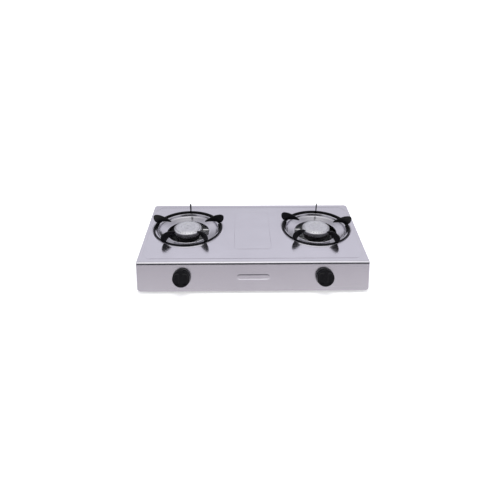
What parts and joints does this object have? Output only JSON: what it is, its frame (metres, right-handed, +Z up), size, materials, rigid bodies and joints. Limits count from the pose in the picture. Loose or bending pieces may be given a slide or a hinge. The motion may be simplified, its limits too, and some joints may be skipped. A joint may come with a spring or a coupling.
{
  "type": "camp stove",
  "caption": "Low table-top gas stove: stainless casing with a leaning fascia, drip bowls, lift-off burner caps, five-fingered pan supports, push-and-turn knobs and a hose nozzle.",
  "frame": {"origin": "on the table, at the middle of the whole stove in plan: half-way between the side walls, and half-way between the faces of the knobs and the end of the hose nozzle", "axes": "+X to the right of someone facing the knobs, +Y to the back, +Z up from the table"},
  "size_m": [0.7, 0.4394, 0.124],
  "materials": {
    "stainless": "brushed",
    "stainless_dull": "dull",
    "polished_stainless": "polished",
    "galvanised": "galvanised",
    "plated_screw": "zinc plated",
    "rubber": "matte",
    "aluminium_rail": "satin",
    "brass": "turned",
    "black_enamel": "gloss enamel",
    "cast_aluminium": "cast and machined",
    "cast_iron": "as cast",
    "ceramic": "glazed ceramic",
    "electrode_steel": "bare wire",
    "igniter_plastic": "moulded",
    "lead_rubber": "silicone sleeve",
    "spring_steel": "spring wire",
    "knob_plastic": "moulded",
    "bezel_plastic": "moulded"
  },
  "bodies": {
    "root": {"back_panel": "stainless_dull", "back_screws": "plated_screw", "base_tray": "galvanised", "bonnet_screws": "plated_screw", "bracket_screws": "plated_screw", "burner_screws": "plated_screw", "foot_screws": "plated_screw", "gas_rail": "aluminium_rail", "hose_nozzle": "brass", "inlet_nut": "brass", "left_burner_body": "cast_iron", "left_burner_bracket": "galvanised", "left_electrode_bracket": "galvanised", "left_electrode_ceramic": "ceramic", "left_electrode_pin": "electrode_steel", "left_ignition_lead": "lead_rubber", "left_jet": "brass", "left_knob_bezel": "bezel_plastic", "left_piezo_igniter": "igniter_plastic", "left_return_spring": "spring_steel", "left_valve_body": "brass", "left_valve_bonnet": "galvanised", "rail_clips": "galvanised", "rail_elbow": "brass", "rail_plug": "brass", "right_burner_body": "cast_iron", "right_burner_bracket": "galvanised", "right_electrode_bracket": "galvanised", "right_electrode_ceramic": "ceramic", "right_electrode_pin": "electrode_steel", "right_ignition_lead": "lead_rubber", "right_jet": "brass", "right_knob_bezel": "bezel_plastic", "right_piezo_igniter": "igniter_plastic", "right_return_spring": "spring_steel", "right_valve_body": "brass", "right_valve_bonnet": "galvanised", "rubber_feet": "rubber", "side_screws": "plated_screw", "supply_pipe": "aluminium_rail", "top_casing": "stainless"},
    "left_bowl": {"left_drip_bowl": "polished_stainless"},
    "left_support": {"left_support_ring": "black_enamel", "left_support_fingers": "black_enamel"},
    "left_cap": {"left_burner_cap": "cast_aluminium"},
    "left_shutter": {"left_air_shutter": "galvanised"},
    "left_push": {"left_spring_cup": "galvanised"},
    "left_control": {"left_knob": "knob_plastic", "left_spindle": "brass"},
    "left_plug": {"left_valve_plug": "brass"},
    "right_bowl": {"right_drip_bowl": "polished_stainless"},
    "right_support": {"right_support_ring": "black_enamel", "right_support_fingers": "black_enamel"},
    "right_cap": {"right_burner_cap": "cast_aluminium"},
    "right_shutter": {"right_air_shutter": "galvanised"},
    "right_push": {"right_spring_cup": "galvanised"},
    "right_control": {"right_knob": "knob_plastic", "right_spindle": "brass"},
    "right_plug": {"right_valve_plug": "brass"}
  },
  "joints": [
    {"name": "left_bowl_lift", "type": "slide", "parent": "root", "child": "left_bowl", "axis": [0, 0, 1], "range_m": [0, 0.05]},
    {"name": "left_support_lift", "type": "slide", "parent": "left_bowl", "child": "left_support", "axis": [0, 0, 1], "range_m": [0, 0.05]},
    {"name": "left_cap_lift", "type": "slide", "parent": "root", "child": "left_cap", "axis": [0, 0, 1], "range_m": [0, 0.04]},
    {"name": "left_shutter_turn", "type": "hinge", "parent": "root", "child": "left_shutter", "pos_m": [-0.2145, -0.09893, 0.04119], "axis": [0, -0.9891, -0.147], "range_deg": [0, 45]},
    {"name": "left_knob_push", "type": "slide", "parent": "root", "child": "left_push", "axis": [0, 0.9272, -0.3746], "range_m": [0, 0.0035], "stiffness_N_per_m": 1500, "springref_m": -0.003, "deforming": ["left_return_spring"]},
    {"name": "left_knob_turn", "type": "hinge", "parent": "left_push", "child": "left_control", "pos_m": [-0.2145, -0.18918, 0.04828], "axis": [0, -0.9272, 0.3746], "range_deg": [0, 180]},
    {"name": "left_plug_turn", "type": "hinge", "parent": "root", "child": "left_plug", "pos_m": [-0.2145, -0.18918, 0.04828], "axis": [0, -0.9272, 0.3746], "range_deg": [0, 180]},
    {"name": "right_bowl_lift", "type": "slide", "parent": "root", "child": "right_bowl", "axis": [0, 0, 1], "range_m": [0, 0.05]},
    {"name": "right_support_lift", "type": "slide", "parent": "right_bowl", "child": "right_support", "axis": [0, 0, 1], "range_m": [0, 0.05]},
    {"name": "right_cap_lift", "type": "slide", "parent": "root", "child": "right_cap", "axis": [0, 0, 1], "range_m": [0, 0.04]},
    {"name": "right_shutter_turn", "type": "hinge", "parent": "root", "child": "right_shutter", "pos_m": [0.2145, -0.09893, 0.04119], "axis": [0, -0.9891, -0.147], "range_deg": [0, 45]},
    {"name": "right_knob_push", "type": "slide", "parent": "root", "child": "right_push", "axis": [0, 0.9272, -0.3746], "range_m": [0, 0.0035], "stiffness_N_per_m": 1500, "springref_m": -0.003, "deforming": ["right_return_spring"]},
    {"name": "right_knob_turn", "type": "hinge", "parent": "right_push", "child": "right_control", "pos_m": [0.2145, -0.18918, 0.04828], "axis": [0, -0.9272, 0.3746], "range_deg": [0, 180]},
    {"name": "right_plug_turn", "type": "hinge", "parent": "root", "child": "right_plug", "pos_m": [0.2145, -0.18918, 0.04828], "axis": [0, -0.9272, 0.3746], "range_deg": [0, 180]}
  ],
  "couplings": [
    {"joint": "left_plug_turn", "follows": "left_knob_turn", "ratio": 1},
    {"joint": "right_plug_turn", "follows": "right_knob_turn", "ratio": 1}
  ]
}
